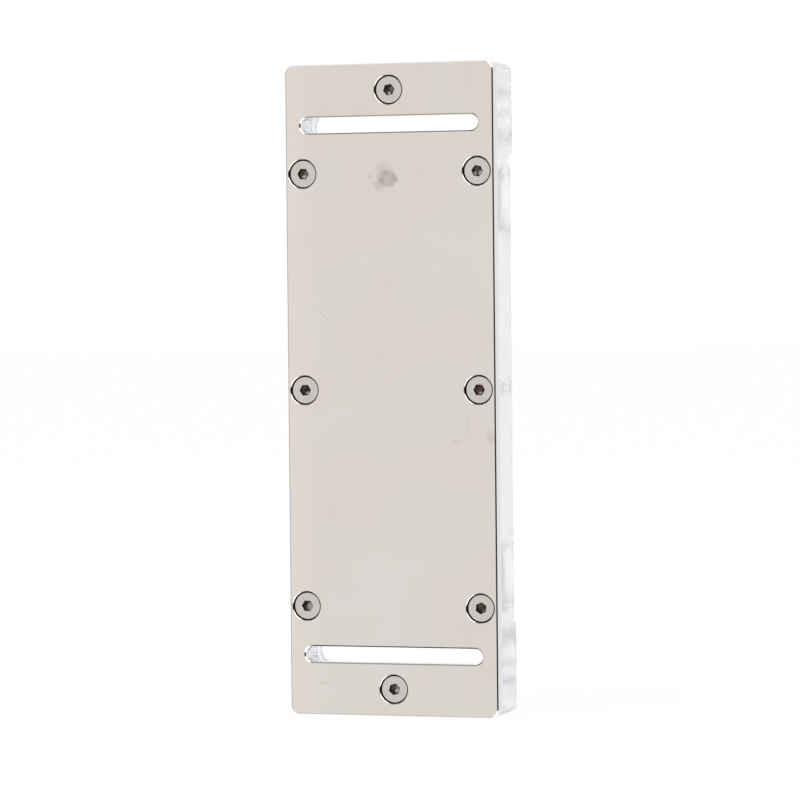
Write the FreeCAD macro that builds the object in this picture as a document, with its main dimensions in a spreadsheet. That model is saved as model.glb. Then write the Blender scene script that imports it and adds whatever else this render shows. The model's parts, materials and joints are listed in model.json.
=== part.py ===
import FreeCAD, Part
import math
import os
import Sketcher
from FreeCAD import Placement, Rotation, Vector

# Liquid cooling cold plate for a row of memory modules, in millimetres.
#
# A nickel-plated copper contact plate is screwed to a clear acrylic body. The body holds the coolant
# chamber, the seal and two threaded ports. Eight countersunk M3 screws go through the plate into
# tapped holes in the body. Two cross slots near the ends take the screws that hold the block: the
# body's slots are wider than the plate's, so that the screw heads bear on the metal.
#
# Every piece is drawn as it is machined: the contact face lies on the XY plane, X is the width, Y is
# the length and the block reaches back along -Z. The finished block stands on one end, its contact
# face towards -Y, with the origin under its middle.

doc = FreeCAD.newDocument("cold_plate")

# Driving dimensions -----------------------------------------------------------------------------------

sheet = doc.addObject("Spreadsheet::Sheet", "sizes")

SIZES = [
    ("block_length", 133.0, "over both ends, as long as a memory module"),
    ("block_width", 44.4, "across four modules"),
    ("block_depth", 14.0, "contact face to the back of the thick ends"),
    ("corner_radius", 1.8, "upright corners of the outline"),

    ("plate_thickness", 3.0, "copper sheet"),
    ("plate_bevel", 0.25, "round the contact face and its slots"),
    ("pool_depth", 1.4, "coolant recess in the wet side"),
    ("fin_count", 16, "fins left standing in the recess"),
    ("fin_pitch", 1.6, "fin to fin"),
    ("fin_thickness", 0.7, "one fin"),
    ("fin_length", 62.0, "between the ports"),

    ("slot_length", 38.0, "end to end"),
    ("slot_width", 3.25, "clears an M3 screw"),
    ("slot_row", 54.13, "middle of the block to the middle of a slot"),
    ("head_slot_length", 40.6, "slot through the body, end to end"),
    ("head_slot_width", 5.85, "lets the head of an M3 screw down on to the plate"),

    ("side_screw_column", 18.62, "middle of the block to a side screw"),
    ("side_screw_row", 44.28, "middle screws to the screws above and below"),
    ("end_screw_row", 61.09, "middle of the block to an end screw"),

    ("well_diameter", 5.94, "straight mouth of a countersunk hole"),
    ("well_depth", 0.6, "straight part, down to the cone"),
    ("well_bevel", 0.14, "round the mouth"),
    ("countersink_angle", 90, "degrees"),
    ("clearance_diameter", 3.3, "plain hole for an M3 screw"),

    ("head_diameter", 5.56, "countersunk head"),
    ("head_recess", 0.45, "top of the head below the contact face"),
    ("shank_diameter", 2.94, "over an M3 thread"),
    ("screw_length", 8.0, "head top to tip"),
    ("key_width", 2.0, "across the flats of the hexagon"),
    ("key_depth", 1.3, "of the hexagon"),

    ("step_row", 48.1, "middle of the block to the step in the back"),
    ("step_depth", 1.4, "thick ends stand back this far"),
    ("back_rounding", 0.8, "polished edges of the back"),

    ("chamber_width", 27.0, "coolant chamber"),
    ("chamber_length", 90.8, "coolant chamber"),
    ("chamber_depth", 3.0, "behind the plate"),
    ("chamber_corner", 4.0, "corner radius"),

    ("seal_width", 30.8, "middle line of the seal, across"),
    ("seal_length", 95.0, "middle line of the seal, along"),
    ("seal_corner", 6.0, "middle line, corner radius"),
    ("seal_band", 2.1, "width of the squeezed seal"),
    ("seal_bevel", 0.4, "rounding of its four edges, as flats"),
    ("groove_band", 2.3, "width of its groove"),
    ("groove_depth", 1.4, "the seal fills it to the plate"),

    ("tapped_diameter", 3.0, "M3 thread in the body"),
    ("tapped_depth", 6.5, "milled flat at the bottom"),

    ("port_row", 38.6, "middle of the block to a port"),
    ("port_diameter", 11.8, "tapping size of a quarter inch pipe thread"),
    ("port_bevel", 0.8, "mouth of the port"),
    ("port_seat_diameter", 18.4, "flat for the fitting's own seal"),
    ("port_seat_depth", 0.3, "flat, below the back"),
]

for row, (alias, value, note) in enumerate(SIZES, start=1):
    sheet.set(f"A{row}", alias)
    sheet.set(f"B{row}", str(value))
    sheet.setAlias(f"B{row}", alias)
    sheet.set(f"C{row}", note)
doc.recompute()


def size(alias):
    """Value of a cell, used only to draw a sketch near its final shape."""
    return float(sheet.get(alias))


# Sketching --------------------------------------------------------------------------------------------

def origin_plane(body, role):
    """One of the three planes of a body's own origin."""
    return next(feature for feature in body.Origin.OriginFeatures if feature.Role == role)


def plane_sketch(body, name, role="XY_Plane", height=None):
    """Empty sketch on an origin plane of its own body, lifted along the plane's normal."""
    sketch = body.newObject("Sketcher::SketchObject", name)
    sketch.AttachmentSupport = [(origin_plane(body, role), "")]
    sketch.MapMode = "FlatFace"
    if height:
        sketch.setExpression(".AttachmentOffset.Base.z", height)
    return sketch


def sized(sketch, label, expression, *constraint):
    """Sizing constraint with a name of its own, bound to the sheet."""
    index = sketch.addConstraint(Sketcher.Constraint(*constraint))
    sketch.renameConstraint(index, label)
    sketch.setExpression(f".Constraints.{label}", expression)


def line(sketch, start, end):
    """Straight edge between two points of the sketch."""
    return sketch.addGeometry(Part.LineSegment(Vector(*start, 0), Vector(*end, 0)), False)


def arc(sketch, centre, radius, start_degrees, end_degrees):
    """Part of a circle, drawn anticlockwise."""
    circle = Part.Circle(Vector(*centre, 0), Vector(0, 0, 1), radius)
    bow = Part.ArcOfCircle(circle, math.radians(start_degrees), math.radians(end_degrees))
    return sketch.addGeometry(bow, False)


def rounded_rectangle(sketch, label, width, length, radius, near):
    """Rectangle about the origin with round corners; near holds width, length and radius as drawn."""
    x, y, r = near[0] / 2, near[1] / 2, near[2]
    right = line(sketch, (x, -y + r), (x, y - r))
    upper_right = arc(sketch, (x - r, y - r), r, 0, 90)
    top = line(sketch, (x - r, y), (-x + r, y))
    upper_left = arc(sketch, (-x + r, y - r), r, 90, 180)
    left = line(sketch, (-x, y - r), (-x, -y + r))
    lower_left = arc(sketch, (-x + r, -y + r), r, 180, 270)
    bottom = line(sketch, (-x + r, -y), (x - r, -y))
    lower_right = arc(sketch, (x - r, -y + r), r, 270, 360)
    ring = [right, upper_right, top, upper_left, left, lower_left, bottom, lower_right]
    for this, following in zip(ring, ring[1:] + ring[:1]):
        sketch.addConstraint(Sketcher.Constraint("Tangent", this, 2, following, 1))
    for upright in (right, left):
        sketch.addConstraint(Sketcher.Constraint("Vertical", upright))
    for level in (top, bottom):
        sketch.addConstraint(Sketcher.Constraint("Horizontal", level))
    for corner in (upper_left, lower_left):
        sketch.addConstraint(Sketcher.Constraint("Equal", upper_right, corner))
    sketch.addConstraint(Sketcher.Constraint("Symmetric", upper_right, 3, lower_left, 3, -1, 1))
    sized(sketch, label + "_radius", radius, "Radius", upper_right, near[2])
    sized(sketch, label + "_width", width, "DistanceX", left, 1, right, 2, near[0])
    sized(sketch, label + "_length", length, "DistanceY", bottom, 1, top, 2, near[1])


def slot_outline(sketch, label, length, width, row, near):
    """Slot across the block, round at both ends; near holds length, width and row as drawn."""
    reach, r, y = (near[0] - near[1]) / 2, near[1] / 2, near[2]
    top = line(sketch, (reach, y + r), (-reach, y + r))
    left = arc(sketch, (-reach, y), r, 90, 270)
    bottom = line(sketch, (-reach, y - r), (reach, y - r))
    right = arc(sketch, (reach, y), r, 270, 450)
    ring = [top, left, bottom, right]
    for this, following in zip(ring, ring[1:] + ring[:1]):
        sketch.addConstraint(Sketcher.Constraint("Tangent", this, 2, following, 1))
    sketch.addConstraint(Sketcher.Constraint("Horizontal", top))
    sketch.addConstraint(Sketcher.Constraint("Symmetric", left, 3, right, 3, -2))
    sized(sketch, label + "_radius", f"{width} / 2", "Radius", left, r)
    sized(sketch, label + "_reach", f"{length} - {width}", "DistanceX", left, 3, right, 3, 2 * reach)
    if y:
        sized(sketch, label + "_row", row, "DistanceY", -1, 1, right, 3, y)
    else:
        sketch.addConstraint(Sketcher.Constraint("PointOnObject", right, 3, -1))


def circles(sketch, label, diameter, points):
    """Equal circles; each point is two expressions with the values that they are drawn at."""
    first = None
    for number, (x, y, near_x, near_y) in enumerate(points, start=1):
        circle = sketch.addGeometry(Part.Circle(Vector(near_x, near_y, 0), Vector(0, 0, 1), 1.0), False)
        if first is None:
            first = circle
            sized(sketch, f"{label}_diameter", diameter, "Diameter", circle, 2.0)
        else:
            sketch.addConstraint(Sketcher.Constraint("Equal", first, circle))
        if near_x:
            sized(sketch, f"{label}{number}_x", x, "DistanceX", -1, 1, circle, 3, near_x)
        else:
            sketch.addConstraint(Sketcher.Constraint("PointOnObject", circle, 3, -2))
        if near_y:
            sized(sketch, f"{label}{number}_y", y, "DistanceY", -1, 1, circle, 3, near_y)
        else:
            sketch.addConstraint(Sketcher.Constraint("PointOnObject", circle, 3, -1))


def profile(sketch, label, corners):
    """Closed outline of straight lines; a corner is two expressions with the values drawn."""
    points = [(near_x, near_y) for _, _, near_x, near_y in corners]
    sides = [line(sketch, start, end) for start, end in zip(points, points[1:] + points[:1])]
    for this, following in zip(sides, sides[1:] + sides[:1]):
        sketch.addConstraint(Sketcher.Constraint("Coincident", this, 2, following, 1))
    for number, (side, (x, y, near_x, near_y)) in enumerate(zip(sides, corners), start=1):
        if near_x:
            sized(sketch, f"{label}{number}_x", x, "DistanceX", -1, 1, side, 1, near_x)
        else:
            sketch.addConstraint(Sketcher.Constraint("PointOnObject", side, 1, -2))
        if near_y:
            sized(sketch, f"{label}{number}_y", y, "DistanceY", -1, 1, side, 1, near_y)
        else:
            sketch.addConstraint(Sketcher.Constraint("PointOnObject", side, 1, -1))


# Features ---------------------------------------------------------------------------------------------

def pad(body, sketch, length):
    """Material behind the sketch, towards the back of the block."""
    feature = body.newObject("PartDesign::Pad", sketch.Name + "_pad")
    feature.Profile = sketch
    feature.Reversed = True
    feature.setExpression("Length", length)
    sketch.Visibility = False
    return feature


def pocket(body, sketch, depth=None, forwards=False):
    """Cut behind the sketch, or in front of it, to a depth or right through."""
    feature = body.newObject("PartDesign::Pocket", sketch.Name + "_cut")
    feature.Profile = sketch
    feature.Reversed = forwards
    if depth is None:
        feature.Type = "ThroughAll"
    else:
        feature.setExpression("Length", depth)
    sketch.Visibility = False
    return feature


def edges_of(feature, wanted):
    """Names of the edges of a feature's shape that the test picks."""
    doc.recompute()
    return [f"Edge{number}" for number, edge in enumerate(feature.Shape.Edges, start=1) if wanted(edge)]


def at_height(edge, height):
    """True for an edge that lies level at the given height."""
    return all(abs(vertex.Z - height) < 1e-6 for vertex in edge.Vertexes)


def is_circle(edge, diameter):
    """True for a round edge of the given diameter."""
    return isinstance(edge.Curve, Part.Circle) and abs(2 * edge.Curve.Radius - diameter) < 1e-6


def dress(body, kind, name, base, edges, amount):
    """Fillet or chamfer along the named edges."""
    feature = body.newObject(f"PartDesign::{kind}", name)
    feature.Base = (base, edges)
    feature.setExpression("Radius" if kind == "Fillet" else "Size", amount)
    return feature


def stand_up(body, x="0", z="0", turn=0.0):
    """Stand a piece up: its contact side turns to -Y, and the block's middle rises over the origin."""
    body.Placement = Placement(Vector(), Rotation(Vector(1, 0, 0), 90) * Rotation(Vector(0, 0, 1), turn))
    body.setExpression(".Placement.Base.x", x)
    body.setExpression(".Placement.Base.y", "-sizes.block_depth / 2")
    body.setExpression(".Placement.Base.z", f"sizes.block_length / 2 + {z}")


# Screw places: name, column and row from the middle of the block, and the turn of the hexagon ----------

SIDE, ROW, END = "sizes.side_screw_column", "sizes.side_screw_row", "sizes.end_screw_row"

SCREWS = [
    ("screw_top", "0", END, 10),
    ("screw_upper_left", f"-{SIDE}", ROW, -2),
    ("screw_upper_right", SIDE, ROW, -8),
    ("screw_middle_left", f"-{SIDE}", "0", 2),
    ("screw_middle_right", SIDE, "0", 0),
    ("screw_lower_left", f"-{SIDE}", f"-{ROW}", -3),
    ("screw_lower_right", SIDE, f"-{ROW}", 25),
    ("screw_bottom", "0", f"-{END}", 16),
]


def near(expression):
    """Value of a screw place or any other signed alias of the sheet."""
    if expression == "0":
        return 0.0
    sign = -1.0 if expression.startswith("-") else 1.0
    return sign * size(expression.split(".")[1])


def screw_points():
    """The eight screw places, as circles() takes them."""
    return [(x, y, near(x), near(y)) for _, x, y, _ in SCREWS]


def draw_outline(body, name, height):
    """Outline of the block."""
    sketch = plane_sketch(body, name, height=height)
    rounded_rectangle(sketch, "outline", "sizes.block_width", "sizes.block_length", "sizes.corner_radius",
                      (size("block_width"), size("block_length"), size("corner_radius")))
    return sketch


def draw_slots(body, name, height, kind):
    """Both cross slots, at the length and width of their kind."""
    sketch = plane_sketch(body, name, height=height)
    for label, row in (("upper", "sizes.slot_row"), ("lower", "-sizes.slot_row")):
        slot_outline(sketch, label, f"sizes.{kind}_length", f"sizes.{kind}_width", row,
                     (size(kind + "_length"), size(kind + "_width"), near(row)))
    return sketch


def chamber_outline(sketch):
    """Coolant chamber, the same in the body and in the plate."""
    rounded_rectangle(sketch, "chamber",
                      "sizes.chamber_width", "sizes.chamber_length", "sizes.chamber_corner",
                      (size("chamber_width"), size("chamber_length"), size("chamber_corner")))


def draw_thick_end(body, height):
    """Outline of one thick end: the block's own outline, from the step outwards."""
    sketch = plane_sketch(body, "thick_end", height=height)
    x, y, r, step = size("block_width") / 2, size("block_length") / 2, size("corner_radius"), size("step_row")
    right = line(sketch, (x, step), (x, y - r))
    right_corner = arc(sketch, (x - r, y - r), r, 0, 90)
    top = line(sketch, (x - r, y), (-x + r, y))
    left_corner = arc(sketch, (-x + r, y - r), r, 90, 180)
    left = line(sketch, (-x, y - r), (-x, step))
    across = line(sketch, (-x, step), (x, step))
    ring = [right, right_corner, top, left_corner, left]
    for this, following in zip(ring, ring[1:]):
        sketch.addConstraint(Sketcher.Constraint("Tangent", this, 2, following, 1))
    sketch.addConstraint(Sketcher.Constraint("Coincident", left, 2, across, 1))
    sketch.addConstraint(Sketcher.Constraint("Coincident", across, 2, right, 1))
    sketch.addConstraint(Sketcher.Constraint("Horizontal", top))
    sketch.addConstraint(Sketcher.Constraint("Vertical", right))
    sketch.addConstraint(Sketcher.Constraint("Symmetric", left, 2, right, 1, -2))
    sketch.addConstraint(Sketcher.Constraint("Symmetric", left, 1, right, 2, -2))
    sized(sketch, "end_radius", "sizes.corner_radius", "Radius", right_corner, r)
    sized(sketch, "end_width", "sizes.block_width", "DistanceX", across, 1, across, 2, 2 * x)
    sized(sketch, "end_row", "sizes.block_length / 2", "DistanceY", -1, 1, top, 1, y)
    sized(sketch, "step_row", "sizes.step_row", "DistanceY", -1, 1, right, 1, step)
    return sketch


# Contact plate ----------------------------------------------------------------------------------------

def make_contact_plate():
    """Copper plate: cross slots, countersunk holes, and a finned recess in the wet side."""
    body = doc.addObject("PartDesign::Body", "contact_plate")
    pad(body, draw_outline(body, "plate_outline", None), "sizes.plate_thickness")
    pocket(body, draw_slots(body, "plate_slots", None, "slot"))

    wells = plane_sketch(body, "screw_wells")
    circles(wells, "well", "sizes.well_diameter", screw_points())
    pocket(body, wells, "sizes.well_depth")
    cones = plane_sketch(body, "screw_cones", height="-sizes.well_depth")
    circles(cones, "hole", "sizes.clearance_diameter", screw_points())
    doc.recompute()
    holes = body.newObject("PartDesign::Hole", "countersunk_holes")
    holes.Profile = cones
    doc.recompute()
    holes.ThreadType = "None"
    holes.DepthType = "ThroughAll"
    holes.HoleCutType = "Countersink"
    holes.HoleCutCustomValues = True
    holes.setExpression("Diameter", "sizes.clearance_diameter")
    holes.setExpression("HoleCutDiameter", "sizes.well_diameter")
    holes.setExpression("HoleCutCountersinkAngle", "sizes.countersink_angle")

    pool = plane_sketch(body, "pool", height="-sizes.plate_thickness")
    chamber_outline(pool)
    pocket(body, pool, "sizes.pool_depth", forwards=True)
    fin = plane_sketch(body, "fin", height="-sizes.plate_thickness + sizes.pool_depth")
    edge, reach = -size("fin_pitch") * (size("fin_count") - 1) / 2, size("fin_length") / 2
    first_edge = "-sizes.fin_pitch * (sizes.fin_count - 1) / 2"
    profile(fin, "corner", [
        (f"{first_edge} {side} sizes.fin_thickness / 2", f"{end}sizes.fin_length / 2",
         edge + way * size("fin_thickness") / 2, row * reach)
        for side, way, end, row in
        (("-", -1, "-", -1), ("+", 1, "-", -1), ("+", 1, "", 1), ("-", -1, "", 1))])
    first_fin = pad(body, fin, "sizes.pool_depth")
    fins = body.newObject("PartDesign::LinearPattern", "fins")
    fins.Originals = [first_fin]
    fins.Direction = (fin, ["H_Axis"])
    fins.setExpression("Occurrences", "sizes.fin_count")
    fins.setExpression("Length", "sizes.fin_pitch * (sizes.fin_count - 1)")
    body.Tip = fins

    well = size("well_diameter")
    rims = edges_of(fins, lambda edge: at_height(edge, 0) and not is_circle(edge, well))
    bevel = dress(body, "Chamfer", "contact_bevel", fins, rims, "sizes.plate_bevel")
    mouths = edges_of(bevel, lambda edge: at_height(edge, 0) and is_circle(edge, well))
    dress(body, "Chamfer", "well_bevels", bevel, mouths, "sizes.well_bevel")
    stand_up(body)
    return body


# Clear body -------------------------------------------------------------------------------------------

def make_clear_body():
    """Acrylic body: chamber, seal groove, slots, tapped holes, ports, and thicker ends."""
    body = doc.addObject("PartDesign::Body", "clear_body")
    front = "-sizes.plate_thickness"
    floor = "-sizes.block_depth + sizes.step_depth"
    floor_height, back_height = size("step_depth") - size("block_depth"), -size("block_depth")
    pad(body, draw_outline(body, "body_outline", front),
        "sizes.block_depth - sizes.step_depth - sizes.plate_thickness")
    rim = edges_of(body.Tip, lambda edge: at_height(edge, floor_height))
    dress(body, "Fillet", "floor_rim", body.Tip, rim, "sizes.back_rounding")

    thick_end = pad(body, draw_thick_end(body, floor + " + sizes.back_rounding"),
                    "sizes.step_depth + sizes.back_rounding")
    thick_ends = body.newObject("PartDesign::Mirrored", "thick_ends")
    thick_ends.Originals = [thick_end]
    thick_ends.MirrorPlane = (origin_plane(body, "XZ_Plane"), [""])
    body.Tip = thick_ends
    end_rims = edges_of(thick_ends, lambda edge: at_height(edge, back_height)
                        and max(abs(vertex.Y) for vertex in edge.Vertexes) > size("step_row") + 1e-6)
    dress(body, "Fillet", "end_rims", thick_ends, end_rims, "sizes.back_rounding")

    pocket(body, draw_slots(body, "body_slots", front, "head_slot"))

    chamber = plane_sketch(body, "chamber", height=front)
    chamber_outline(chamber)
    pocket(body, chamber, "sizes.chamber_depth")

    groove = plane_sketch(body, "seal_groove", height=front)
    for label, sign, way in (("outer", "+", 1), ("inner", "-", -1)):
        band = way * size("groove_band")
        rounded_rectangle(groove, label, f"sizes.seal_width {sign} sizes.groove_band",
                          f"sizes.seal_length {sign} sizes.groove_band",
                          f"sizes.seal_corner {sign} sizes.groove_band / 2",
                          (size("seal_width") + band, size("seal_length") + band,
                           size("seal_corner") + band / 2))
    pocket(body, groove, "sizes.groove_depth")

    tapped = plane_sketch(body, "tapped_places", height=front)
    circles(tapped, "hole", "sizes.tapped_diameter", screw_points())
    doc.recompute()
    holes = body.newObject("PartDesign::Hole", "tapped_holes")
    holes.Profile = tapped
    doc.recompute()
    holes.ThreadType = "None"
    holes.DepthType = "Dimension"
    holes.DrillPoint = "Flat"
    holes.setExpression("Diameter", "sizes.tapped_diameter")
    holes.setExpression("Depth", "sizes.tapped_depth")

    ports = [("0", "sizes.port_row", 0, size("port_row")), ("0", "-sizes.port_row", 0, -size("port_row"))]
    seats = plane_sketch(body, "port_seats", height=floor)
    circles(seats, "seat", "sizes.port_seat_diameter", ports)
    pocket(body, seats, "sizes.port_seat_depth", forwards=True)
    bores = plane_sketch(body, "port_bores", height=floor)
    circles(bores, "bore", "sizes.port_diameter", ports)
    port_cut = pocket(body, bores, "sizes.block_depth - sizes.step_depth - sizes.plate_thickness"
                                   " - sizes.chamber_depth / 2", forwards=True)
    seat_height = floor_height + size("port_seat_depth")
    mouths = edges_of(port_cut, lambda edge: at_height(edge, seat_height)
                      and is_circle(edge, size("port_diameter")))
    dress(body, "Chamfer", "port_mouths", port_cut, mouths, "sizes.port_bevel")
    stand_up(body)
    return body


# Chamber seal -----------------------------------------------------------------------------------------

def make_chamber_seal():
    """Rubber ring squeezed flat between the groove's floor and the plate."""
    body = doc.addObject("PartDesign::Body", "chamber_seal")
    middle = "-sizes.plate_thickness - sizes.groove_depth / 2"
    path = plane_sketch(body, "seal_path", height=middle)
    rounded_rectangle(path, "path", "sizes.seal_width", "sizes.seal_length", "sizes.seal_corner",
                      (size("seal_width"), size("seal_length"), size("seal_corner")))

    section = plane_sketch(body, "seal_section", role="XZ_Plane")
    column, level = size("seal_width") / 2, -size("plate_thickness") - size("groove_depth") / 2
    across, along, bevel = size("seal_band") / 2, size("groove_depth") / 2, size("seal_bevel")
    corners = []
    for x, y in ((1, 1), (-1, 1), (-1, -1), (1, -1)):
        pair = [(across - bevel, along, " - sizes.seal_bevel", ""),
                (across, along - bevel, "", " - sizes.seal_bevel")]
        for reach, rise, less_reach, less_rise in (pair if x * y < 0 else pair[::-1]):
            corners.append((f"sizes.seal_width / 2 + {x} * (sizes.seal_band / 2{less_reach})",
                            f"{middle} + {y} * (sizes.groove_depth / 2{less_rise})",
                            column + x * reach, level + y * rise))
    profile(section, "corner", corners)

    ring_sweep = body.newObject("PartDesign::AdditivePipe", "seal_sweep")
    ring_sweep.Profile = section
    ring_sweep.Spine = (path, [])
    ring_sweep.Mode = "Standard"
    stand_up(body)
    return body


# Screws -----------------------------------------------------------------------------------------------

def make_screw(name, x, y, turn):
    """Countersunk M3 screw: a turned blank, then the hexagon socket."""
    body = doc.addObject("PartDesign::Body", name)
    head, shank = size("head_diameter") / 2, size("shank_diameter") / 2
    top, tip = -size("head_recess"), -size("head_recess") - size("screw_length")
    cone_start = -size("well_depth") - size("well_diameter") / 2 + head
    cone_end = cone_start - head + shank
    half_head, half_shank = "sizes.head_diameter / 2", "sizes.shank_diameter / 2"
    top_cell, tip_cell = "-sizes.head_recess", "-sizes.head_recess - sizes.screw_length"
    cone_start_cell = "-sizes.well_depth - sizes.well_diameter / 2 + sizes.head_diameter / 2"
    cone_end_cell = "-sizes.well_depth - sizes.well_diameter / 2 + sizes.shank_diameter / 2"

    blank = plane_sketch(body, name + "_profile", role="XZ_Plane")
    profile(blank, "corner", [
        ("0", top_cell, 0, top),
        (half_head, top_cell, head, top),
        (half_head, cone_start_cell, head, cone_start),
        (half_shank, cone_end_cell, shank, cone_end),
        (half_shank, tip_cell, shank, tip),
        ("0", tip_cell, 0, tip),
    ])
    turned = body.newObject("PartDesign::Revolution", name + "_blank")
    turned.Profile = blank
    turned.ReferenceAxis = (blank, ["V_Axis"])
    turned.Angle = 360

    socket = plane_sketch(body, name + "_socket", height="-sizes.head_recess")
    circumradius = size("key_width") / 3 ** 0.5
    angles = [math.radians(60 * number) for number in range(6)]
    corners = [(circumradius * math.cos(angle), circumradius * math.sin(angle)) for angle in angles]
    sides = [line(socket, start, end) for start, end in zip(corners, corners[1:] + corners[:1])]
    guide = socket.addGeometry(Part.Circle(Vector(), Vector(0, 0, 1), circumradius), True)
    socket.addConstraint(Sketcher.Constraint("Coincident", guide, 3, -1, 1))
    for this, following in zip(sides, sides[1:] + sides[:1]):
        socket.addConstraint(Sketcher.Constraint("Coincident", this, 2, following, 1))
        socket.addConstraint(Sketcher.Constraint("PointOnObject", this, 1, guide))
    for side in sides[1:]:
        socket.addConstraint(Sketcher.Constraint("Equal", sides[0], side))
    socket.addConstraint(Sketcher.Constraint("PointOnObject", sides[0], 1, -1))
    sized(socket, "corner_circle", "sizes.key_width / sqrt(3)", "Radius", guide, circumradius)
    pocket(body, socket, "sizes.key_depth")

    stand_up(body, x, y, turn)
    return body


# Assembly and export ----------------------------------------------------------------------------------

pieces = [make_contact_plate(), make_clear_body(), make_chamber_seal()]
pieces += [make_screw(*place) for place in SCREWS]
doc.recompute()

for item in doc.Objects:
    if {"Invalid", "Error"} & set(item.State):
        raise RuntimeError(f"{item.Name} failed: {item.State}")

os.makedirs("parts", exist_ok=True)
for piece in pieces:
    if piece.Shape.isNull() or not piece.Shape.isValid() or len(piece.Shape.Solids) != 1:
        raise RuntimeError(f"{piece.Label} is not one sound solid")
    piece.Shape.exportStep(os.path.join("parts", piece.Label + ".step"))
    box = piece.Shape.BoundBox
    print(f"{piece.Label}: {piece.Shape.Volume:.1f} mm3, x {box.XMin:.2f} to {box.XMax:.2f},"
          f" y {box.YMin:.2f} to {box.YMax:.2f}, z {box.ZMin:.2f} to {box.ZMax:.2f}")
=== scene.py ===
import json
import math

import bmesh
import bpy
from mathutils import Matrix, Vector


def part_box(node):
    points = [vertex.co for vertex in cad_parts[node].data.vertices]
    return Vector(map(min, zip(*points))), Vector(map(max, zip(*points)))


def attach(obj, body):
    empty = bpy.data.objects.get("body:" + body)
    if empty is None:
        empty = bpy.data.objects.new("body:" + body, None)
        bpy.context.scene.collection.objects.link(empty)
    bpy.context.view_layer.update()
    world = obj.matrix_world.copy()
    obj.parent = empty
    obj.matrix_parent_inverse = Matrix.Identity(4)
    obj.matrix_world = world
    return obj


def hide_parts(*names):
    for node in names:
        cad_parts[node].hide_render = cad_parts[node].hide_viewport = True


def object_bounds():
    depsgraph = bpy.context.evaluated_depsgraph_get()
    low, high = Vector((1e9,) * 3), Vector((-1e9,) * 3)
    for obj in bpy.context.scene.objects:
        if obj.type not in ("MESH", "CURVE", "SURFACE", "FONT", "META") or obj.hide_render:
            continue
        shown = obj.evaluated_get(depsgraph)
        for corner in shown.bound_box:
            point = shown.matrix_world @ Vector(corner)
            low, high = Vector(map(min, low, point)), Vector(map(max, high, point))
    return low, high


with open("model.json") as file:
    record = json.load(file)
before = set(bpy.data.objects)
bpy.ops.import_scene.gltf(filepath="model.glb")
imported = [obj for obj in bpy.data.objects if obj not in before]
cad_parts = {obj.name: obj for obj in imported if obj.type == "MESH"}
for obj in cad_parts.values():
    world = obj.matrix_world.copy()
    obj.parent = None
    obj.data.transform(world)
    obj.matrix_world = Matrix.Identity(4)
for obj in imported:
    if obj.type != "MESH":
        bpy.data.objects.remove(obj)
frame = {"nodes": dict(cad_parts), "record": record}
cad_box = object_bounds()
MM = 0.001


# Contact plate ---------------------------------------------------------------------------------
# Copper plate, milled flat and nickel plated. It carries the bevelled outline, both cross slots and
# the screw holes, and it lies against the parts to be cooled. Eight countersunk screws hold it.

FRONT = cad_box[0].y
MIDDLE = (cad_box[0].z + cad_box[1].z) / 2
HALF_LENGTH = (cad_box[1].z - cad_box[0].z) / 2


def new_material(name):
    """Empty node material; gives it with its node tree and its shader."""
    material = bpy.data.materials.new(name)
    material.use_nodes = True
    tree = material.node_tree
    tree.nodes.clear()
    shader = tree.nodes.new("ShaderNodeBsdfPrincipled")
    output = tree.nodes.new("ShaderNodeOutputMaterial")
    tree.links.new(shader.outputs[0], output.inputs["Surface"])
    return material, tree, shader


def wire(tree, value, socket):
    """Sets a socket, or links it where the value is another node's output."""
    if isinstance(value, bpy.types.NodeSocket):
        tree.links.new(value, socket)
    elif value is not None:
        socket.default_value = value


def maths(tree, operation, first, second=None, third=None, clamp=False):
    """Math node on up to three numbers or outputs."""
    node = tree.nodes.new("ShaderNodeMath")
    node.operation, node.use_clamp = operation, clamp
    for socket, value in zip(node.inputs, (first, second, third)):
        wire(tree, value, socket)
    return node.outputs[0]


def product(tree, first, *others):
    """Product of numbers or outputs."""
    for other in others:
        first = maths(tree, "MULTIPLY", first, other)
    return first


def apart(tree, first, second):
    """Distance between two numbers or outputs."""
    return maths(tree, "ABSOLUTE", maths(tree, "SUBTRACT", first, second))


def vectors(tree, operation, first, second=None):
    """Vector Math node; gives its vector, or its number for a length, distance or dot product."""
    node = tree.nodes.new("ShaderNodeVectorMath")
    node.operation = operation
    wire(tree, first, node.inputs[0])
    wire(tree, second, node.inputs[1])
    return node.outputs["Value" if operation in ("LENGTH", "DISTANCE", "DOT_PRODUCT") else "Vector"]


def split(tree, vector):
    """X, Y and Z of a vector."""
    node = tree.nodes.new("ShaderNodeSeparateXYZ")
    wire(tree, vector, node.inputs[0])
    return tuple(node.outputs)


def ramp(tree, value, low, high, start=0.0, end=1.0):
    """Smooth step of a value from low to high, given between start and end."""
    node = tree.nodes.new("ShaderNodeMapRange")
    node.interpolation_type = "SMOOTHSTEP"
    for socket, number in zip(node.inputs, (value, low, high, start, end)):
        wire(tree, number, socket)
    return node.outputs[0]


def blended(tree, share, first, second):
    """Mix of two colours."""
    node = tree.nodes.new("ShaderNodeMix")
    node.data_type = "RGBA"
    wire(tree, share, node.inputs[0])
    wire(tree, first, node.inputs[6])
    wire(tree, second, node.inputs[7])
    return node.outputs[2]


def noise(tree, place, scale, detail=2.0, roughness=0.5, distortion=0.0, output="Fac"):
    """Noise texture; the scale is in waves a metre."""
    node = tree.nodes.new("ShaderNodeTexNoise")
    wire(tree, place, node.inputs["Vector"])
    node.inputs["Scale"].default_value = scale
    node.inputs["Detail"].default_value = detail
    node.inputs["Roughness"].default_value = roughness
    node.inputs["Distortion"].default_value = distortion
    return node.outputs[output]


def object_place(tree):
    """Place of the shaded point in the object's own coordinates, in metres."""
    return tree.nodes.new("ShaderNodeTexCoord").outputs["Object"]


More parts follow.
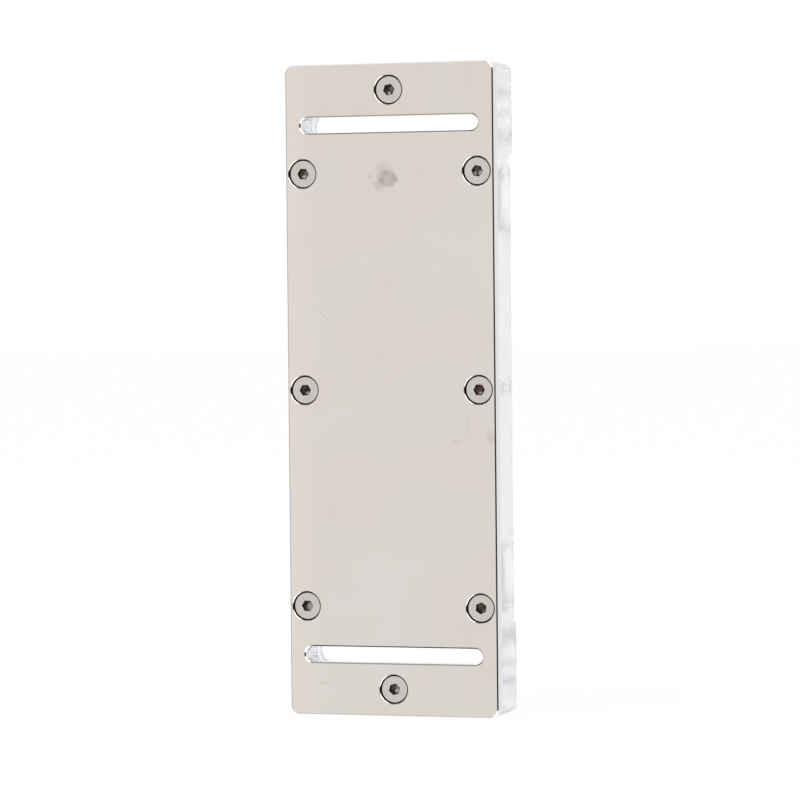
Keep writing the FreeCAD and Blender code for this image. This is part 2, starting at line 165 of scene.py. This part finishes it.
def squareness(tree):
    """How squarely the surface faces along X, Y and Z: one straight on, nought edge on."""
    normal = tree.nodes.new("ShaderNodeTexCoord").outputs["Normal"]
    return split(tree, vectors(tree, "ABSOLUTE", normal))


def spot(tree, place, middle, reach, fade=0.5):
    """One inside an oval on the face, fading to nought at its rim; across and up, in millimetres."""
    offset = vectors(tree, "SUBTRACT", place, (middle[0] * MM, 0, middle[1] * MM))
    share = vectors(tree, "MULTIPLY", offset, (1 / (reach[0] * MM), 0, 1 / (reach[1] * MM)))
    return ramp(tree, vectors(tree, "LENGTH", share), 1.0, 1.0 - fade)


def scratch(tree, place, middle, radius, width):
    """One along a thin arc round a middle on the face, in millimetres."""
    offset = vectors(tree, "SUBTRACT", place, (middle[0] * MM, 0, middle[1] * MM))
    away = vectors(tree, "LENGTH", vectors(tree, "MULTIPLY", offset, (1, 0, 1)))
    return ramp(tree, apart(tree, away, radius * MM), width * MM, 0.0)


def fingermark(tree, place):
    """Brown mark of a dirty fingertip above the middle, in a few lobes with ragged edges."""
    push = 2.0 * MM
    lobes = (((-0.4, 109.5), (2.6, 2.2), 0.45, 0.50),
             ((1.0, 109.3), (1.2, 1.7), 0.80, 0.22),
             ((-1.1, 111.4), (2.4, 1.9), 0.70, 0.24),
             ((-2.1, 108.4), (1.5, 1.7), 0.60, 0.30),
             ((-3.9, 110.2), (1.1, 1.2), 0.80, 0.16))
    ragged = vectors(tree, "SUBTRACT", noise(tree, place, 700.0, 3.0, output="Color"), (0.5, 0.5, 0.5))
    torn = vectors(tree, "ADD", place, vectors(tree, "MULTIPLY", ragged, (push, push, push)))
    mark = 0.0
    for middle, reach, fade, strength in lobes:
        mark = maths(tree, "MULTIPLY_ADD", spot(tree, torn, middle, reach, fade), strength, mark)
    return maths(tree, "MINIMUM", mark, 1.0)


def screw_axis(name):
    """Across and up of a screw's axis, in metres."""
    low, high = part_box(name)
    return (low.x + high.x) / 2, (low.z + high.z) / 2


def recess(tree, place):
    """One in the narrow gaps round the sunk screw heads, where the plating gets painted shade."""
    flat = vectors(tree, "MULTIPLY", place, (1, 0, 1))
    nearest = 1.0
    for name in frame["nodes"]:
        if name.startswith("screw_"):
            across, up = screw_axis(name)
            nearest = maths(tree, "MINIMUM", nearest, vectors(tree, "DISTANCE", flat, (across, 0, up)))
    sunk = maths(tree, "SUBTRACT", split(tree, place)[1], FRONT)
    in_well = ramp(tree, nearest, 3.02 * MM, 2.98 * MM)
    behind_face = ramp(tree, sunk, 0.11 * MM, 0.18 * MM)
    before_wet_side = ramp(tree, sunk, 2.80 * MM, 2.70 * MM)
    return product(tree, in_well, behind_face, before_wet_side)


def nickel_plating():
    """Bright nickel over lapped copper: faint warm and cool clouds, a fingermark, and fine scratches; painted
    shade in the gaps round the screw heads and in the pool's grooves, and painted light on the left of the
    face and on the end bevels.
    """
    material, tree, shader = new_material("nickel_plating")
    place = object_place(tree)
    x, y, z = split(tree, place)
    squarely_x, squarely_y, squarely_z = squareness(tree)
    across, along = maths(tree, "ABSOLUTE", x), apart(tree, z, MIDDLE)
    sunk = maths(tree, "SUBTRACT", y, FRONT)

    clouds = ramp(tree, noise(tree, place, 46.0, 3.0, 0.55, 0.6), 0.36, 0.64)
    upper = ramp(tree, z, 75.0 * MM, 125.0 * MM, 0.0, 0.35)
    yellowed = product(tree, maths(tree, "ADD", clouds, upper, clamp=True), 0.8)
    patches = ramp(tree, noise(tree, place, 150.0, 2.0, 0.5, 0.3), 0.30, 0.70)
    # Painted light: the left of the face is coloured brighter and warmer, standing for the brighter light it
    # reflects there.
    left = ramp(tree, x, -14.0 * MM, -21.5 * MM, 0.0, 0.8)
    sides = ramp(tree, squarely_x, 0.80, 0.97)
    # Painted highlight: the bevels at both ends are coloured brighter than the rest of the nickel, against
    # the dim room they reflect.
    end_bevels = product(tree, ramp(tree, squarely_z, 0.45, 0.60),
                         ramp(tree, along, HALF_LENGTH - 0.35 * MM, HALF_LENGTH - 0.25 * MM))
    wet_side = ramp(tree, sunk, 2.80 * MM, 2.95 * MM)
    # The grooves' floors in the pool darken with depth: partly duller plating there, partly painted shade.
    in_pool = product(tree, ramp(tree, across, 13.6 * MM, 13.4 * MM), ramp(tree, along, 45.6 * MM, 45.2 * MM))
    grooves = product(tree, in_pool, ramp(tree, sunk, 2.6 * MM, 1.8 * MM),
                      ramp(tree, sunk, 0.6 * MM, 1.4 * MM))
    tint = (0.716, 0.675, 0.640, 1)
    for share, colour in ((yellowed, (0.700, 0.642, 0.590, 1)),
                          (product(tree, patches, 0.4), (0.712, 0.665, 0.632, 1)),
                          (left, (0.752, 0.690, 0.640, 1)),
                          (sides, (0.715, 0.705, 0.710, 1)),
                          (end_bevels, (0.850, 0.810, 0.780, 1)),
                          (wet_side, (0.860, 0.860, 0.875, 1)),
                          (grooves, (0.400, 0.370, 0.350, 1))):
        tint = blended(tree, share, tint, colour)

    on_face = ramp(tree, sunk, 0.60 * MM, 0.40 * MM)
    curved_scratch = product(tree, scratch(tree, place, (-27.5, 70.8), 17.1, 0.13),
                             spot(tree, place, (-13.9, 80.9), (3.4, 4.2)))
    short_arc = product(tree, scratch(tree, place, (-14.84, 3.70), 2.86, 0.15),
                        spot(tree, place, (-14.84, 6.5), (2.2, 1.0)))
    grey_arc = product(tree, scratch(tree, place, (10.96, 59.2), 5.4, 0.6),
                       spot(tree, place, (16.2, 59.2), (2.4, 3.4)))
    small_spot = spot(tree, place, (13.8, 55.9), (1.6, 1.0), 0.9)
    edge_spot = spot(tree, place, (21.2, 56.8), (1.3, 2.3), 0.9)
    for mark, strength, colour in ((fingermark(tree, place), 1.0, (0.395, 0.330, 0.275, 1)),
                                   (curved_scratch, 0.36, (0.50, 0.44, 0.37, 1)),
                                   (short_arc, 0.5, (0.50, 0.48, 0.42, 1)),
                                   (grey_arc, 0.3, (0.60, 0.59, 0.58, 1)),
                                   (small_spot, 0.3, (0.60, 0.52, 0.42, 1)),
                                   (edge_spot, 0.6, (0.60, 0.52, 0.42, 1))):
        tint = blended(tree, product(tree, mark, on_face, strength), tint, colour)
    # Painted shade: the narrow gaps round the sunk heads are coloured near black, standing for the shade deep
    # in each gap.
    well_shade = recess(tree, place)
    well_shade_colour = blended(tree, patches, (0.035, 0.026, 0.021, 1), (0.120, 0.095, 0.080, 1))
    wire(tree, blended(tree, well_shade, tint, well_shade_colour), shader.inputs["Base Color"])

    shader.inputs["Metallic"].default_value = 1.0
    lapped = ramp(tree, squarely_y, 0.80, 0.95, 0.07, 0.13)
    rubbed = ramp(tree, along, HALF_LENGTH - 0.30 * MM, HALF_LENGTH - 0.20 * MM, 0.0, 0.45)
    gloss = maths(tree, "ADD", maths(tree, "MULTIPLY_ADD", patches, 0.05, lapped), rubbed)
    dull = maths(tree, "MAXIMUM", well_shade, grooves)
    wire(tree, maths(tree, "MULTIPLY_ADD", dull, 0.35, gloss), shader.inputs["Roughness"])
    return material


plate = frame["nodes"]["contact_plate"]
plate.data.materials.clear()
plate.data.materials.append(nickel_plating())


# Clear body ------------------------------------------------------------------------------------
# Block of clear cast acrylic, milled on every side and polished. It holds the coolant chamber, the
# seal's groove, the tapped holes and two ports with a quarter inch pipe thread.

mounts = {mount["name"]: Vector(mount["pos_m"]) for mount in frame["record"]["mounts"]}


def finished(name, mesh, materials, slot, *nodes):
    """Object of a finished mesh that stands for the given nodes of the frame."""
    piece = bpy.data.objects.new(name, mesh)
    bpy.context.scene.collection.objects.link(piece)
    for material in materials:
        mesh.materials.append(material)
    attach(piece, "root")
    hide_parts(*nodes)
    even = piece.modifiers.new("even_shading", "WEIGHTED_NORMAL")
    even.keep_sharp = True
    even.weight = 100


def clear_acrylic():
    """Water-clear acrylic: polished faces and holes, satin outer walls and matt milled slots."""
    material, tree, shader = new_material("clear_acrylic")
    place = object_place(tree)
    x, _, z = split(tree, place)
    across, along = maths(tree, "ABSOLUTE", x), apart(tree, z, MIDDLE)
    shader.inputs["Base Color"].default_value = (0.966, 0.975, 1.0, 1)
    shader.inputs["IOR"].default_value = 1.49

    walls = ramp(tree, squareness(tree)[1], 0.95, 0.80)
    outside = maths(tree, "MAXIMUM", ramp(tree, across, 21.0 * MM, 21.4 * MM),
                    ramp(tree, along, HALF_LENGTH - 1.9 * MM, HALF_LENGTH - 1.6 * MM))
    satin = product(tree, walls, outside)
    from_slot = apart(tree, along, mounts["slot_upper"].z - MIDDLE)
    matt = product(tree, walls, ramp(tree, from_slot, 3.3 * MM, 3.1 * MM),
                   ramp(tree, across, 21.4 * MM, 21.0 * MM))
    haze = ramp(tree, noise(tree, place, 400.0, 3.0), 0.35, 0.75)
    rough = maths(tree, "MULTIPLY_ADD", satin, 0.18, product(tree, haze, 0.03))
    wire(tree, maths(tree, "MULTIPLY_ADD", matt, 0.55, rough), shader.inputs["Roughness"])
    hazed = product(tree, satin, ramp(tree, x, -21.0 * MM, -19.0 * MM))
    wire(tree, maths(tree, "MULTIPLY_ADD", hazed, -0.35, 1.0), shader.inputs["Transmission Weight"])
    return material


def port_thread(middle):
    """Coil that cuts the thread of one port, wound about the port's axis."""
    pitch, bore, root, turns, steps = 1.337 * MM, 5.75 * MM, 6.50 * MM, 6, 40
    half_mouth, half_root, first_turn = 0.46 * MM, 0.10 * MM, -1.9 * MM
    start = Vector((middle.x, first_turn, middle.z))
    coil = bmesh.new()
    corners = [coil.verts.new(start + Vector((reach, rise, 0))) for reach, rise in
               ((bore, -half_mouth), (root, -half_root), (root, half_root), (bore, half_mouth))]
    coil.faces.new(corners)
    bmesh.ops.spin(coil, geom=coil.faces[:], cent=start, axis=(0, 1, 0), dvec=(0, pitch / steps, 0),
                   angle=turns * 2 * math.pi, steps=turns * steps, use_merge=False)
    bmesh.ops.recalc_face_normals(coil, faces=coil.faces[:])
    mesh = bpy.data.meshes.new("port_thread")
    coil.to_mesh(mesh)
    coil.free()
    cutter = bpy.data.objects.new("port_thread", mesh)
    bpy.context.scene.collection.objects.link(cutter)
    return cutter


def clear_body_mesh():
    """The milled block with both port threads cut, a hair off the plate so that light can pass between."""
    joint_gap, hair, flat_within = 0.02 * MM, 0.001 * MM, math.radians(0.5)
    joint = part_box("clear_body")[0].y
    block = bmesh.new()
    block.from_mesh(frame["nodes"]["clear_body"].data)
    bmesh.ops.remove_doubles(block, verts=block.verts[:], dist=hair)
    bmesh.ops.dissolve_limit(block, angle_limit=flat_within, verts=block.verts[:], edges=block.edges[:])
    for vertex in block.verts:
        if vertex.co.y < joint + hair:
            vertex.co.y = joint + joint_gap
    mesh = bpy.data.meshes.new("clear_block")
    block.to_mesh(mesh)
    block.free()
    uncut = bpy.data.objects.new("clear_block", mesh)
    bpy.context.scene.collection.objects.link(uncut)
    cutters = [port_thread(mounts[port]) for port in ("port_upper", "port_lower")]
    for cutter in cutters:
        cut = uncut.modifiers.new("thread", "BOOLEAN")
        cut.operation, cut.solver, cut.object = "DIFFERENCE", "EXACT", cutter
    done = bpy.data.meshes.new_from_object(uncut.evaluated_get(bpy.context.evaluated_depsgraph_get()))
    for helper in [uncut] + cutters:
        bpy.data.objects.remove(helper)
    done.name = "clear_block"
    done.shade_smooth()
    done.set_sharp_from_angle(angle=math.radians(28))
    return done


finished("clear_block", clear_body_mesh(), [clear_acrylic()], "clear", "clear_body")


# Chamber seal ----------------------------------------------------------------------------------
# Black nitrile rubber ring, laid in the groove round the chamber. The plate squeezes it flat at the
# front and back, and its sides bulge.

def bumped(tree, shader, height, distance):
    """Bump on a shader."""
    node = tree.nodes.new("ShaderNodeBump")
    node.inputs["Strength"].default_value = 1.0
    node.inputs["Distance"].default_value = distance
    wire(tree, height, node.inputs["Height"])
    wire(tree, node.outputs[0], shader.inputs["Normal"])


def black_rubber():
    """Nitrile rubber with a soft dull surface."""
    material, tree, shader = new_material("black_rubber")
    speckle = noise(tree, object_place(tree), 2600.0)
    wire(tree, blended(tree, speckle, (0.012, 0.012, 0.013, 1), (0.028, 0.028, 0.030, 1)),
         shader.inputs["Base Color"])
    wire(tree, ramp(tree, speckle, 0.3, 0.7, 0.45, 0.62), shader.inputs["Roughness"])
    bumped(tree, shader, speckle, 0.02 * MM)
    return material


def drawn_on(mesh, loop):
    """Extrudes a loop of edges in place; gives the new loop's vertices and edges."""
    drawn = bmesh.ops.extrude_edge_only(mesh, edges=loop)["geom"]
    verts = [item for item in drawn if isinstance(item, bmesh.types.BMVert)]
    return verts, [item for item in drawn if isinstance(item, bmesh.types.BMEdge)
                   and item.verts[0] in verts and item.verts[1] in verts]


def seal_mesh():
    """Squeezed ring: one section drawn along the sides and swept round the corners."""
    half_band, half_height, corner = 1.05 * MM, 0.685 * MM, 6.0 * MM
    low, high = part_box("chamber_seal")
    half_width, half_length = high.x - half_band, (high.z - low.z) / 2 - half_band
    ring = bmesh.new()
    bmesh.ops.create_circle(ring, segments=20, radius=half_band, cap_ends=False)
    for vertex in ring.verts:
        vertex.co.y = max(-half_height, min(half_height, vertex.co.y))
    bmesh.ops.translate(ring, verts=ring.verts[:],
                        vec=(half_width, (low.y + high.y) / 2, MIDDLE - half_length + corner))
    edges = ring.edges[:]
    for side in range(4):
        turn = Matrix.Rotation(math.radians(-90 * side), 3, "Y")
        half_side = half_length if side % 2 == 0 else half_width
        section, edges = drawn_on(ring, edges)
        bmesh.ops.translate(ring, verts=section, vec=turn @ Vector((0, 0, 1)) * 2 * (half_side - corner))
        centre = sum((vertex.co for vertex in section), Vector()) / len(section)
        centre += turn @ Vector((-corner, 0, 0))
        swept = bmesh.ops.spin(ring, geom=section + edges, cent=centre, axis=(0, -1, 0),
                               angle=math.pi / 2, steps=10, use_merge=False)
        edges = [item for item in swept["geom_last"] if isinstance(item, bmesh.types.BMEdge)]
    bmesh.ops.remove_doubles(ring, verts=ring.verts[:], dist=0.002 * MM)
    bmesh.ops.recalc_face_normals(ring, faces=ring.faces[:])
    mesh = bpy.data.meshes.new("rubber_seal")
    ring.to_mesh(mesh)
    ring.free()
    mesh.shade_smooth()
    mesh.set_sharp_from_angle(angle=math.radians(35))
    return mesh


finished("rubber_seal", seal_mesh(), [black_rubber()], "seal", "chamber_seal")


# Screws ----------------------------------------------------------------------------------------
# Eight countersunk M3 screws of stainless steel with a hexagon socket. The heads are turned and sit
# just under the face of the plate, and the rolled threads bite into the acrylic.

HEXAGON_TURNS = {"screw_top": 10, "screw_upper_left": -2, "screw_upper_right": -8, "screw_middle_left": 2,
                 "screw_middle_right": 0, "screw_lower_left": -3, "screw_lower_right": 25, "screw_bottom": 16}

# Painted highlights in the sockets, where light falls on the lower drill cone: across and up from the screw's
# axis and reach, in millimetres, and strength.
SOCKET_HIGHLIGHTS = {
    "screw_top": (((-0.25, -0.69), (0.40, 0.45), 0.95), ((0.25, 0.20), (0.60, 0.60), 0.25)),
    "screw_upper_left": (((-0.15, -0.53), (0.60, 0.45), 0.80), ((0.25, 0.10), (0.60, 0.80), 0.25)),
    "screw_upper_right": (((-0.70, -0.50), (0.35, 0.60), 0.65), ((0.45, -0.40), (0.70, 0.70), 0.85)),
    "screw_middle_left": (((0.15, -0.57), (0.50, 0.40), 0.65),),
    "screw_middle_right": (((-0.05, -0.63), (0.50, 0.35), 0.60),),
    "screw_lower_left": (((0.25, -0.15), (0.90, 1.05), 0.70),),
    "screw_lower_right": (((0.25, -0.50), (0.50, 0.50), 0.15),),
    "screw_bottom": (((0.20, -0.40), (0.55, 0.50), 1.00), ((0.35, 0.30), (0.60, 0.80), 0.40)),
}


def stainless_steel():
    """Turned stainless steel of the heads and threads, a little uneven in colour and gloss."""
    material, tree, shader = new_material("stainless_steel")
    cloud = noise(tree, object_place(tree), 900.0, 3.0)
    wire(tree, blended(tree, cloud, (0.555, 0.525, 0.500, 1), (0.640, 0.605, 0.578, 1)),
         shader.inputs["Base Color"])
    shader.inputs["Metallic"].default_value = 1.0
    wire(tree, ramp(tree, cloud, 0.3, 0.7, 0.2, 0.32), shader.inputs["Roughness"])
    return material


def socket_scale_and_shade():
    """Brown scale in the broached sockets, darkened further by painted shade, with painted highlights where
    light falls on the lower drill cone.
    """
    material, tree, shader = new_material("socket_scale_and_shade")
    place = object_place(tree)
    socket_highlight = 0.0
    for name, patches in SOCKET_HIGHLIGHTS.items():
        axis = screw_axis(name)
        for (across, up), reach, strength in patches:
            middle = (axis[0] / MM + across, axis[1] / MM + up)
            socket_highlight = maths(tree, "MULTIPLY_ADD", spot(tree, place, middle, reach, 0.6), strength, socket_highlight)
    sunk = maths(tree, "SUBTRACT", split(tree, place)[1], FRONT)
    socket_highlight = product(tree, socket_highlight, ramp(tree, sunk, 0.60 * MM, 0.80 * MM))
    stain = noise(tree, place, 900.0, 3.0)
    # The dark brown stands partly for scale and partly for painted shade deep in the socket; the lighter
    # spots are painted highlights.
    scale = blended(tree, ramp(tree, stain, 0.35, 0.7), (0.030, 0.019, 0.014, 1), (0.130, 0.088, 0.068, 1))
    wire(tree, blended(tree, socket_highlight, scale, (0.52, 0.46, 0.41, 1)), shader.inputs["Base Color"])
    shader.inputs["Metallic"].default_value = 1.0
    wire(tree, ramp(tree, stain, 0.3, 0.7, 0.3, 0.5), shader.inputs["Roughness"])
    return material


def rim_gap_shade():
    """Painted shade on the rounded rim and side of each head, standing for the shade of the narrow gap round
    it.
    """
    material, tree, shader = new_material("rim_gap_shade")
    rim_mottle = noise(tree, object_place(tree), 350.0, 3.0)
    rim_shade_colour = blended(tree, ramp(tree, rim_mottle, 0.35, 0.65), (0.050, 0.037, 0.030, 1), (0.16, 0.125, 0.105, 1))
    wire(tree, rim_shade_colour, shader.inputs["Base Color"])
    shader.inputs["Metallic"].default_value = 1.0
    wire(tree, ramp(tree, rim_mottle, 0.3, 0.7, 0.25, 0.4), shader.inputs["Roughness"])
    return material


def drawn_round(screw, loop, radius, depth):
    """Draws a loop on to a given radius about the axis and a given depth below the face."""
    verts, loop = drawn_on(screw, loop)
    for vertex in verts:
        scale = radius / math.hypot(vertex.co.x, vertex.co.z)
        vertex.co = (vertex.co.x * scale, depth, vertex.co.z * scale)
    return verts, loop


def screw_mesh():
    """One screw about the Y axis, with the face of the plate at zero: head, socket, neck and thread."""
    around, flats, mouth, crown = 48, 2.0 * MM, 2.16 * MM, 1.45 * MM
    top, neck_end, tip = 0.45 * MM, 2.30 * MM, 8.45 * MM
    pitch, crest, root, rows = 0.5 * MM, 1.47 * MM, 1.19 * MM, 8
    steel, socket, rim_side = 0, 1, 2
    socket_reach, socket_floor, rim_reach = 1.2 * MM, 2.0 * MM, 2.68 * MM
    upright = Matrix.Rotation(math.pi / 2, 3, "X")
    screw = bmesh.new()
    bmesh.ops.create_circle(screw, segments=6, radius=mouth / math.sqrt(3), cap_ends=False)
    bmesh.ops.rotate(screw, verts=screw.verts[:], cent=(0, 0, 0), matrix=Matrix.Rotation(math.pi / 6, 3, "Z"))
    bmesh.ops.subdivide_edges(screw, edges=screw.edges[:], cuts=around // 6 - 1)
    bmesh.ops.rotate(screw, verts=screw.verts[:], cent=(0, 0, 0), matrix=upright)
    bmesh.ops.translate(screw, verts=screw.verts[:], vec=(0, top, 0))
    hexagon = screw.edges[:]

    loop = hexagon
    lead_in, walls, drill_cone = (flats / mouth, 0.07 * MM), (1.0, 0.93 * MM), (0.001, 0.30 * MM)
    for widening, depth in (lead_in, walls, drill_cone):
        verts, loop = drawn_on(screw, loop)
        bmesh.ops.scale(screw, verts=verts, vec=(widening, 1, widening))
        bmesh.ops.translate(screw, verts=verts, vec=(0, depth, 0))
    bmesh.ops.remove_doubles(screw, verts=verts, dist=0.01 * MM)
    rim = bmesh.ops.create_circle(screw, segments=around, radius=crown, cap_ends=False)["verts"]
    bmesh.ops.rotate(screw, verts=rim, cent=(0, 0, 0), matrix=upright)
    bmesh.ops.translate(screw, verts=rim, vec=(0, top, 0))
    loop = [edge for edge in screw.edges if edge.verts[0] in rim and edge.verts[1] in rim]
    bmesh.ops.bridge_loops(screw, edges=hexagon + loop)

    rounded_rim = ((2.62, 0.450), (2.69, 0.462), (2.74, 0.495), (2.77, 0.545), (2.78, 0.610), (2.78, 0.790))
    cone_and_neck = ((1.50, 2.07), (1.44, 2.16), (1.44, neck_end / MM))
    for radius, depth in rounded_rim + cone_and_neck:
        _, loop = drawn_round(screw, loop, radius * MM, depth * MM)
    depth, threaded = neck_end, []
    while depth < tip - pitch:
        depth += pitch / rows
        verts, loop = drawn_round(screw, loop, crest, depth)
        threaded += verts
    for vertex in threaded:
        turn = math.atan2(vertex.co.z, vertex.co.x) / (2 * math.pi)
        wave = abs(((vertex.co.y / pitch - turn) % 1.0) * 2 - 1)
        flank = min(1.0, max(0.0, (wave - 0.08) / 0.78))
        run_in = min(1.0, (vertex.co.y - neck_end) / (1.2 * pitch))
        radius = crest - (crest - root) * flank * run_in
        scale = radius / math.hypot(vertex.co.x, vertex.co.z)
        vertex.co.x *= scale
        vertex.co.z *= scale
    for radius, depth in ((1.16 * MM, tip - 0.25 * MM), (0.86 * MM, tip)):
        _, loop = drawn_round(screw, loop, radius, depth)
    bmesh.ops.contextual_create(screw, geom=loop)
    bmesh.ops.recalc_face_normals(screw, faces=screw.faces[:])

    for face in screw.faces:
        middle = face.calc_center_median()
        away = math.hypot(middle.x, middle.z)
        in_socket = away < socket_reach and top < middle.y < socket_floor and len(face.verts) < 6
        # The socket faces take the brown scale with painted shade and highlights; the rounded rim and side of
        # each head take the painted gap shade.
        face.material_index = socket if in_socket else rim_side if away > rim_reach else steel
    return screw


head_finishes = [stainless_steel(), socket_scale_and_shade(), rim_gap_shade()]
pattern = screw_mesh()
for name, turn in HEXAGON_TURNS.items():
    across, up = screw_axis(name)
    one = pattern.copy()
    one.transform(Matrix.Translation((across, FRONT, up)) @ Matrix.Rotation(math.radians(-turn), 4, "Y"))
    mesh = bpy.data.meshes.new(f"cap_{name}")
    one.to_mesh(mesh)
    one.free()
    mesh.shade_smooth()
    mesh.set_sharp_from_angle(angle=math.radians(30))
    finished(f"cap_{name}", mesh, head_finishes, "screws", name)
pattern.free()


# Floor and studio ------------------------------------------------------------------------------
# The block stands on a white floor in an evenly lit white room, with two soft lamps. What the metal
# reflects is brighter high on the right, dimmer at the left, and dark in a narrow opening at the right,
# which draws the dark lines in the polished bevels.

def either(tree, *kinds):
    """One for rays of any of the given kinds."""
    path = tree.nodes.new("ShaderNodeLightPath").outputs
    share = 0.0
    for kind in kinds:
        share = maths(tree, "MAXIMUM", share, path[kind])
    return share


def white_floor():
    """White card that keeps a light shadow."""
    material, tree, shader = new_material("white_floor")
    grain = noise(tree, object_place(tree), 300.0)
    wire(tree, blended(tree, grain, (0.90, 0.90, 0.90, 1), (0.93, 0.93, 0.93, 1)),
         shader.inputs["Base Color"])
    shader.inputs["Roughness"].default_value = 0.9
    shader.inputs["Specular IOR Level"].default_value = 0.0
    glow = tree.nodes.new("ShaderNodeEmission")
    mixed = tree.nodes.new("ShaderNodeMixShader")
    output = next(node for node in tree.nodes if node.type == "OUTPUT_MATERIAL")
    seen = either(tree, "Is Camera Ray", "Is Glossy Ray", "Is Transmission Ray")
    wire(tree, product(tree, seen, 0.93), mixed.inputs[0])
    wire(tree, shader.outputs[0], mixed.inputs[1])
    wire(tree, glow.outputs[0], mixed.inputs[2])
    wire(tree, mixed.outputs[0], output.inputs["Surface"])
    return material


sheet = bmesh.new()
bmesh.ops.create_grid(sheet, x_segments=1, y_segments=1, size=6.0)
mesh = bpy.data.meshes.new("floor")
sheet.to_mesh(mesh)
sheet.free()
floor = bpy.data.objects.new("floor", mesh)
mesh.materials.append(white_floor())
bpy.context.scene.collection.objects.link(floor)
floor.visible_glossy = floor.visible_transmission = False


def soft_patch(tree, heading, towards, inside, outside):
    """One towards a direction, falling to nought between two angles from it, in degrees."""
    nearness = vectors(tree, "DOT_PRODUCT", heading, Vector(towards).normalized())
    return ramp(tree, nearness, math.cos(math.radians(outside)), math.cos(math.radians(inside)))


def mixed_number(tree, share, first, second):
    """Mix of two numbers."""
    node = tree.nodes.new("ShaderNodeMix")
    for socket, value in zip(node.inputs, (share, None, first, second)):
        wire(tree, value, socket)
    return node.outputs[0]


studio = bpy.data.worlds.new("studio")
bpy.context.scene.world = studio
studio.use_nodes = True
tree = studio.node_tree
tree.nodes.clear()
heading = split(tree, tree.nodes.new("ShaderNodeTexCoord").outputs["Generated"])
folded = tree.nodes.new("ShaderNodeCombineXYZ")
for value, socket in zip((heading[0], heading[1], maths(tree, "ABSOLUTE", heading[2])), folded.inputs):
    wire(tree, value, socket)
reflected = 1.0
for towards, inside, outside, strength in (((0.57, -0.25, 0.78), 25, 31, 2.0),
                                           ((-0.33, 0.0, 0.94), 18, 30, 0.45),
                                           ((-0.94, 0.33, 0.0), 15, 40, 0.55),
                                           ((0.94, -0.33, 0.0), 14, 18, 0.03)):
    patch = soft_patch(tree, folded.outputs[0], towards, inside, outside)
    reflected = product(tree, reflected, maths(tree, "MULTIPLY_ADD", patch, strength - 1, 1.0))
seen = either(tree, "Is Camera Ray", "Is Glossy Ray", "Is Transmission Ray")
room = mixed_number(tree, seen, 0.95, reflected)
backdrop = mixed_number(tree, either(tree, "Is Camera Ray", "Is Transmission Ray"), room, 1.0)
glow = tree.nodes.new("ShaderNodeBackground")
glow.inputs["Color"].default_value = (1, 1, 1, 1)
wire(tree, backdrop, glow.inputs["Strength"])
output = tree.nodes.new("ShaderNodeOutputWorld")
wire(tree, glow.outputs[0], output.inputs["Surface"])

aim = Vector((0, 0, 0.06))
for name, place, size, power in (("key_lamp", (-0.5, -0.6, 0.9), 0.6, 2.5),
                                 ("fill_lamp", (0.7, 0.5, 0.8), 0.5, 1.0)):
    lamp = bpy.data.lights.new(name, "AREA")
    lamp.shape, lamp.size, lamp.energy = "DISK", size, power
    holder = bpy.data.objects.new(name, lamp)
    holder.location = place
    holder.rotation_mode = "QUATERNION"
    holder.rotation_quaternion = (aim - Vector(place)).to_track_quat("-Z", "Y")
    bpy.context.scene.collection.objects.link(holder)

bpy.context.scene.cycles.max_bounces = 24
bpy.context.scene.cycles.glossy_bounces = 16
bpy.context.scene.cycles.transmission_bounces = 16


# Camera ----------------------------------------------------------------------------------------
# A long lens stands 0.85 m off, a little to the right of the block and a little above its middle.

AROUND, ABOVE, ROLL = math.radians(18.01), math.radians(1.425), math.radians(-0.554)
AWAY, SHIFT_ACROSS, SHIFT_UP = 850.0, 1.851, -2.019
lens = bpy.data.cameras.new("camera")
lens.sensor_width, lens.lens = 36.0, 187.88
lens.clip_start, lens.clip_end = 0.01, 50.0
camera = bpy.data.objects.new("camera", lens)
back = Vector((math.sin(AROUND) * math.cos(ABOVE), -math.cos(AROUND) * math.cos(ABOVE), math.sin(ABOVE)))
right = Vector((math.cos(AROUND), math.sin(AROUND), 0))
up = back.cross(right)
across = right * math.cos(ROLL) + up * math.sin(ROLL)
upwards = up * math.cos(ROLL) - right * math.sin(ROLL)
stand = Vector((0, FRONT, MIDDLE)) + (back * AWAY + across * SHIFT_ACROSS + upwards * SHIFT_UP) * MM
camera.matrix_world = Matrix.Translation(stand) @ Matrix((across, upwards, back)).transposed().to_4x4()
bpy.context.scene.collection.objects.link(camera)
bpy.context.scene.camera = camera
bpy.context.scene.view_settings.view_transform = "Standard"
